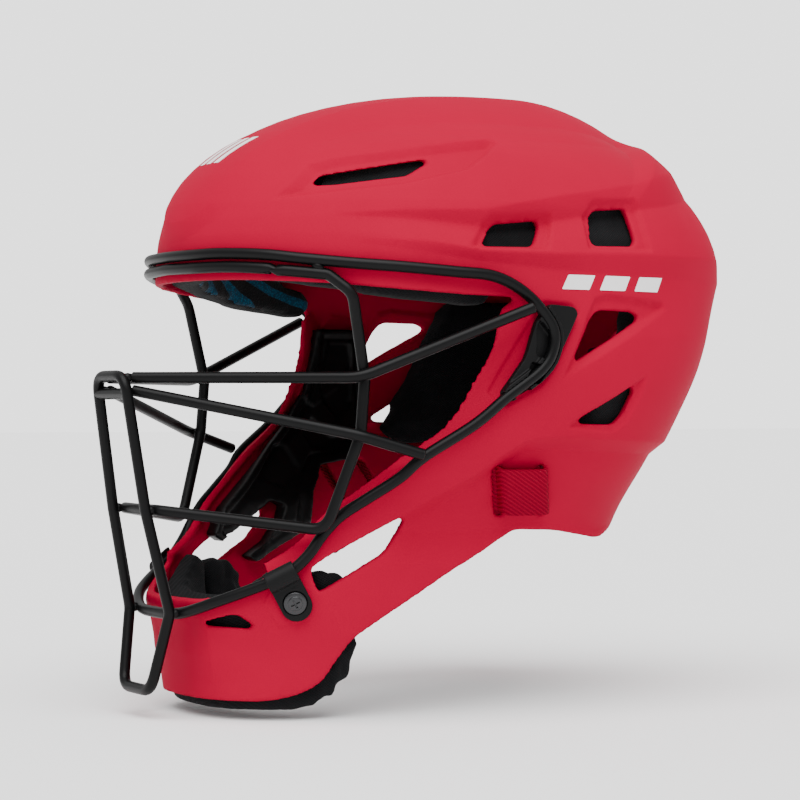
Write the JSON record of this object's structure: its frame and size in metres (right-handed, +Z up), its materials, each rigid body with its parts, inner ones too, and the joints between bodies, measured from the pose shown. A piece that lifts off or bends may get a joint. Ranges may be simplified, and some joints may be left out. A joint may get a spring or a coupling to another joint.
{
  "type": "catcher's helmet",
  "caption": "Hockey-style catcher's helmet for bat and ball play: moulded shell, wire face cage, padded liner and a floating back plate on elastic straps.",
  "frame": {"origin": "middle of the crown pad's flat underside, where the wearer's head carries the helmet", "axes": "+X to the wearer's left, -Y out of the face, +Z up through the crown"},
  "size_m": [0.229, 0.3145, 0.2864],
  "materials": {
    "shell_red": "fine matte moulded polymer with a soft sheen",
    "cage_black": "satin powder-coated steel wire",
    "plastic_black": "fine textured moulding",
    "liner_foam": "moulded closed-cell foam with a fine skin",
    "liner_knit": "charcoal wicking knit over foam",
    "strap_red": "woven elastic webbing",
    "screw_black": "black oxide steel"
  },
  "bodies": {
    "shell": {"helmet_shell": "shell_red", "perimeter_wire": "cage_black", "inner_loop_wire": "cage_black", "centre_loop": "cage_black", "head_cross_bar": "cage_black", "crown_pad": "liner_knit", "brow_pad": "liner_knit", "chin_pad": "liner_knit", "throat_pad": "liner_knit", "top_strap": "strap_red", "top_strap_rivet_shell": "screw_black", "upper_eye_bar_left": "cage_black", "lower_eye_bar_left": "cage_black", "gusset_left": "plastic_black", "chin_clip_left": "plastic_black", "clip_screw_left": "screw_black", "clip_nut_left": "screw_black", "upper_pad_left": "liner_foam", "jaw_pad_left": "liner_foam", "rear_side_pad_left": "liner_knit", "side_strap_left": "strap_red", "strap_rivet_front_left": "screw_black", "upper_eye_bar_right": "cage_black", "lower_eye_bar_right": "cage_black", "gusset_right": "plastic_black", "chin_clip_right": "plastic_black", "clip_screw_right": "screw_black", "clip_nut_right": "screw_black", "upper_pad_right": "liner_foam", "jaw_pad_right": "liner_foam", "rear_side_pad_right": "liner_knit", "side_strap_right": "strap_red", "strap_rivet_front_right": "screw_black"},
    "back_plate": {"back_plate": "shell_red", "rear_pad": "liner_knit", "strap_rivet_rear_left": "screw_black", "strap_rivet_rear_right": "screw_black", "top_strap_rivet_plate": "screw_black"}
  },
  "joints": [
    {"name": "back_plate_hinge", "type": "hinge", "parent": "shell", "child": "back_plate", "pos_m": [0, 0.1325, -0.078], "axis": [1, 0, 0], "range_deg": [0, 12], "stiffness_Nm_per_rad": 1, "springref_deg": -2.86, "deforming": ["side_strap_left", "side_strap_right", "top_strap"]}
  ]
}
